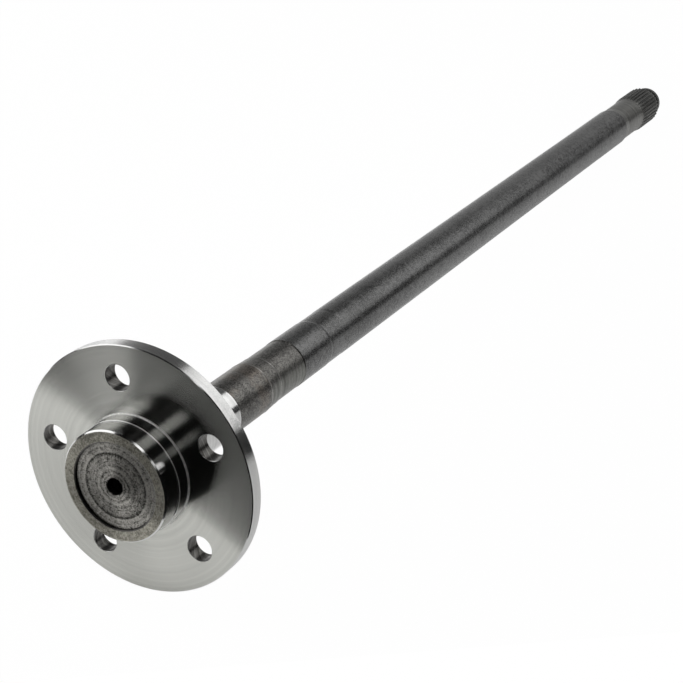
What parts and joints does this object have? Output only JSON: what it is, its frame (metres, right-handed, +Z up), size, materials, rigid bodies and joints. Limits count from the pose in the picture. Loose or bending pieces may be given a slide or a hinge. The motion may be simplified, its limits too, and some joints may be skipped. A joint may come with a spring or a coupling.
{
  "type": "axle shaft",
  "caption": "Flanged rear axle shaft with a stepped pilot boss, empty stud holes, a long round shaft and a splined end with a clip groove, lying at rest.",
  "frame": {"origin": "on the ground, under the middle of the part's box", "axes": "+Z up, +X along the shaft from the wheel flange to the splined end, level along the ground. The shaft lies on its flange's rim and its splines, so its own axis slopes down towards +X by 3.98 degrees"},
  "size_m": [0.91, 0.1546, 0.1546],
  "materials": {
    "steel": "bare forged steel, fine-turned bright on the flange, boss and journal, dark scale on the long shaft and splines"
  },
  "bodies": {
    "root": {"axle_shaft": "steel"}
  },
  "joints": []
}
